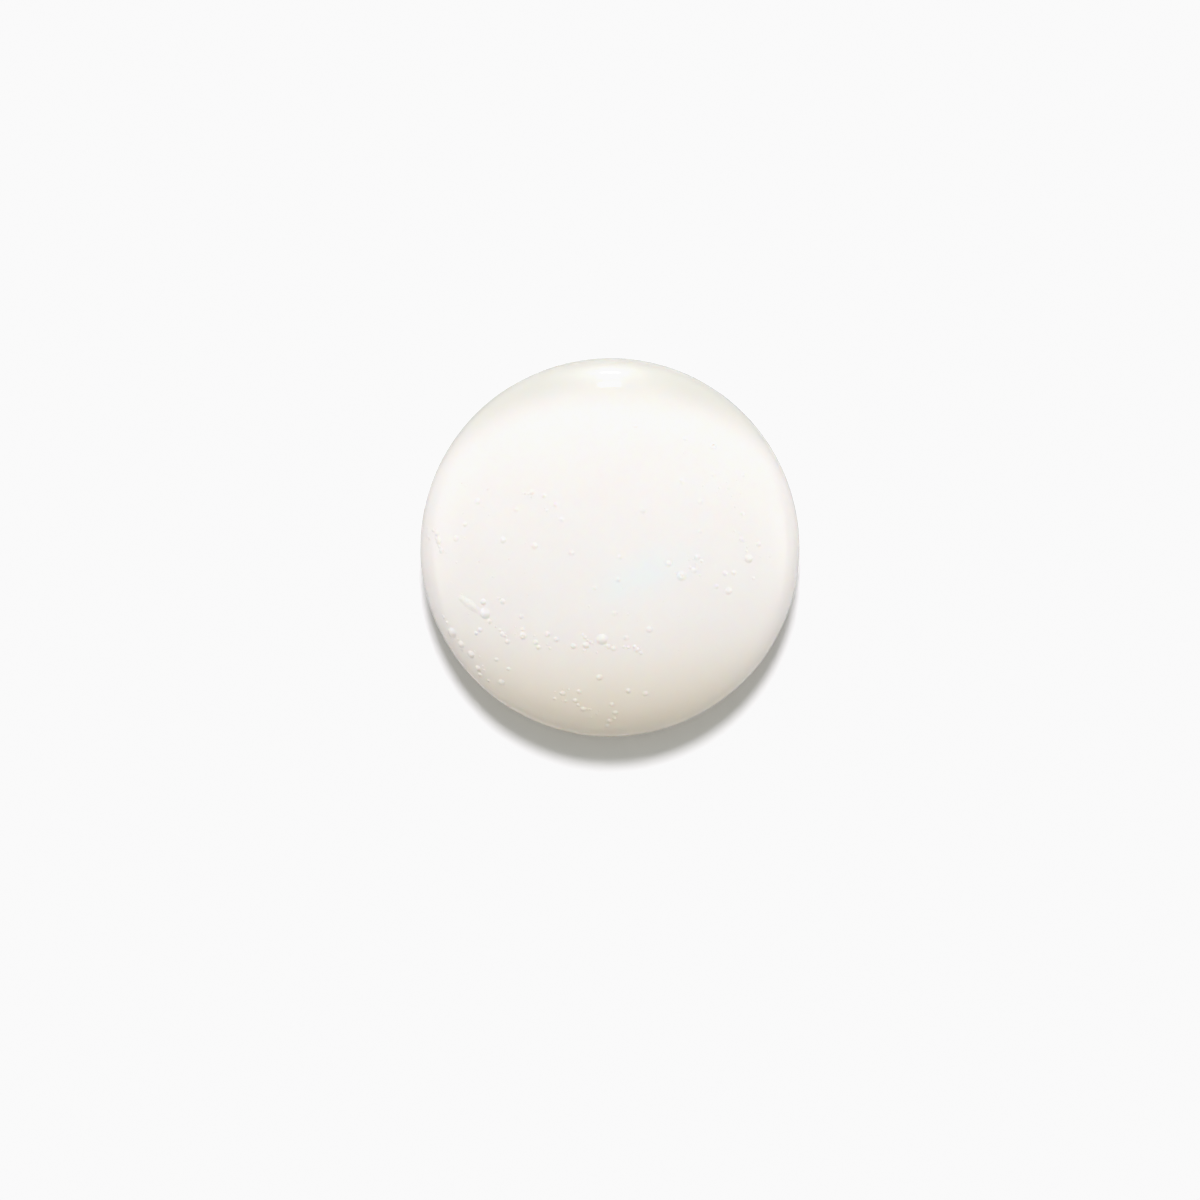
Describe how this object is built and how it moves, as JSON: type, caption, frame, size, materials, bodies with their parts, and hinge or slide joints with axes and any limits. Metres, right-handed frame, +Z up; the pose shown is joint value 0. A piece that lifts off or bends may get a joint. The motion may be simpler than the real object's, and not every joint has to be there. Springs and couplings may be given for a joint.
{
  "type": "shaving soap puck",
  "caption": "Round cast puck of shaving soap with a domed top, a full rounded side and a flat underside to rest on in a mug, bowl or dish.",
  "frame": {"origin": "centre of the flat underside, on the surface the puck rests on", "axes": "+Z up along the puck's axis of symmetry; +X and +Y are any two square directions across it"},
  "size_m": [0.065, 0.065, 0.019],
  "materials": {
    "soap": "glossy, slightly translucent cream-white soap"
  },
  "bodies": {
    "root": {"soap_puck": "soap"}
  },
  "joints": []
}
